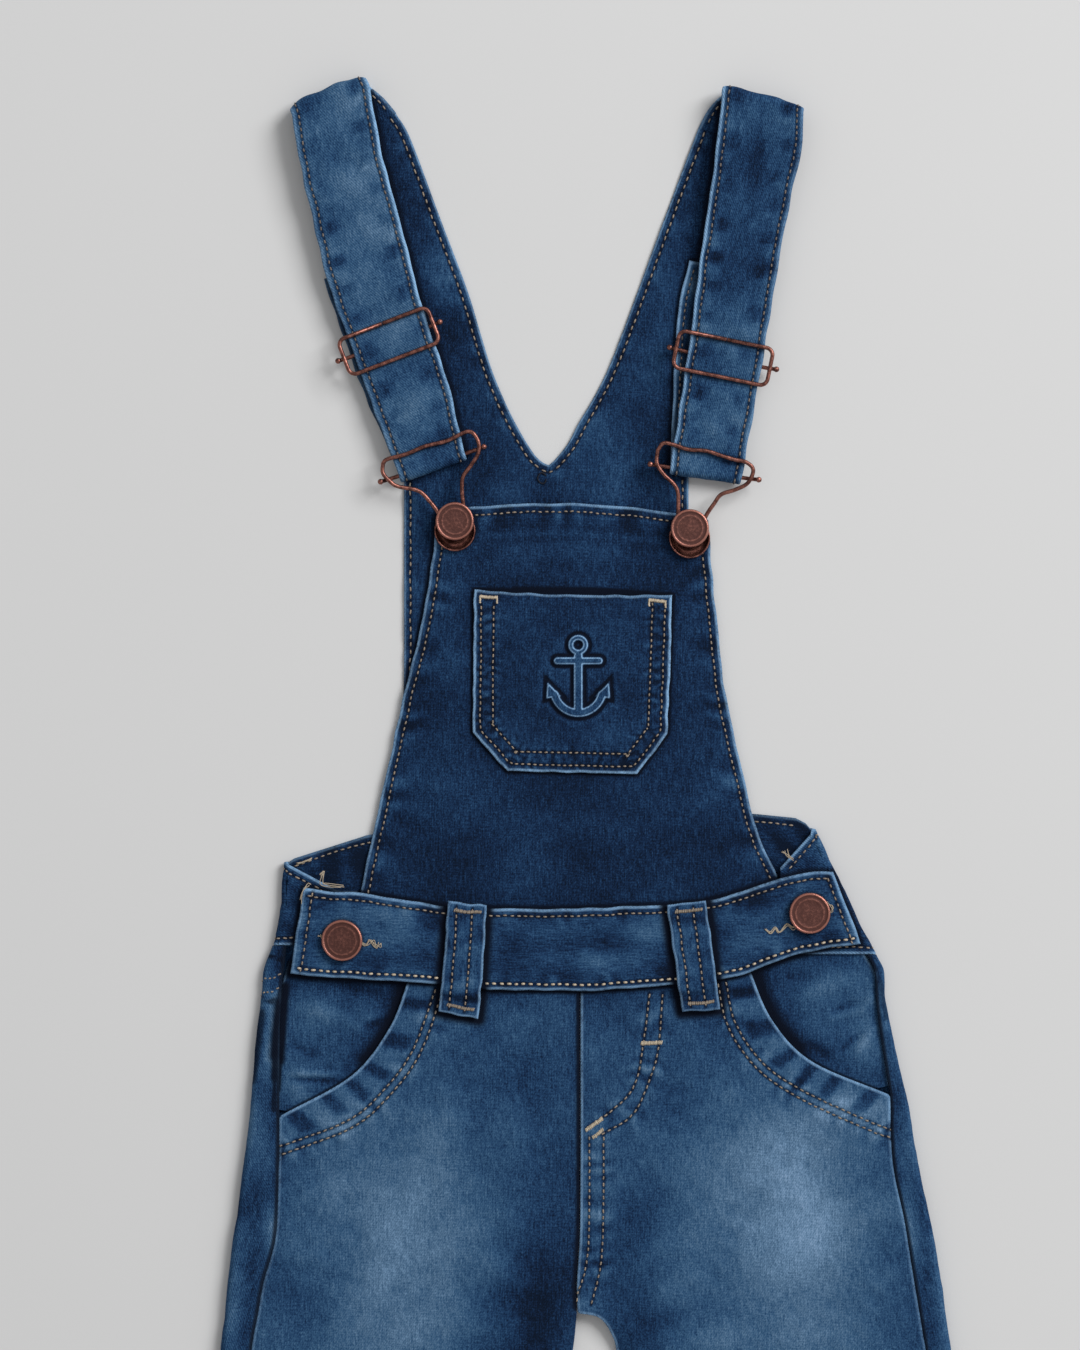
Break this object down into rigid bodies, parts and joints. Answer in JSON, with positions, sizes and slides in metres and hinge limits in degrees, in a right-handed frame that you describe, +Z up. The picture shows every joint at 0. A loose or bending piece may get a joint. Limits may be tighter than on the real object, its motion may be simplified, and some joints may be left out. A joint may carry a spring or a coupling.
{
  "type": "denim overalls",
  "caption": "Toddler's denim bib overalls laid flat on their back: bib with patch pocket, waistband, straight legs, straps on wire buckles",
  "frame": {"origin": "middle of the garment's outline, on the surface that it lies on", "axes": "+X to the right of someone looking down at the front, +Y from the hems towards the shoulder straps, +Z up from the surface through the cloth"},
  "size_m": [0.312, 0.8307, 0.0109],
  "materials": {
    "denim_dark": "dark indigo denim twill, right side out, with pale worn rims",
    "denim_mid": "indigo denim twill, washed paler on the thighs and rims",
    "denim_light": "washed blue denim with dark blotches between the stitch rows",
    "denim_inside": "very dark indigo denim",
    "copper": "antique copper plating, dark in the hollows and worn bright on the rims"
  },
  "bodies": {
    "root": {"back_bib": "denim_inside", "waistband_back": "denim_mid", "leg_back_left": "denim_mid", "leg_back_right": "denim_mid", "pocket_cloth_left": "denim_mid", "pocket_cloth_right": "denim_mid", "leg_front_left": "denim_mid", "leg_front_right": "denim_mid", "bib_front": "denim_dark", "bib_pocket": "denim_dark", "pocket_anchor": "denim_dark", "waistband_front": "denim_mid", "belt_loop_left": "denim_mid", "belt_loop_right": "denim_mid", "strap_left": "denim_light", "strap_right": "denim_light", "slider_left": "copper", "slider_right": "copper", "slider_bar_left": "copper", "slider_bar_right": "copper", "buckle_left": "copper", "buckle_right": "copper", "buckle_bar_left": "copper", "buckle_bar_right": "copper", "buckle_cup_left": "copper", "buckle_cup_right": "copper", "bib_button_left": "copper", "bib_button_right": "copper", "waist_button_left": "copper", "waist_button_right": "copper"}
  },
  "joints": []
}
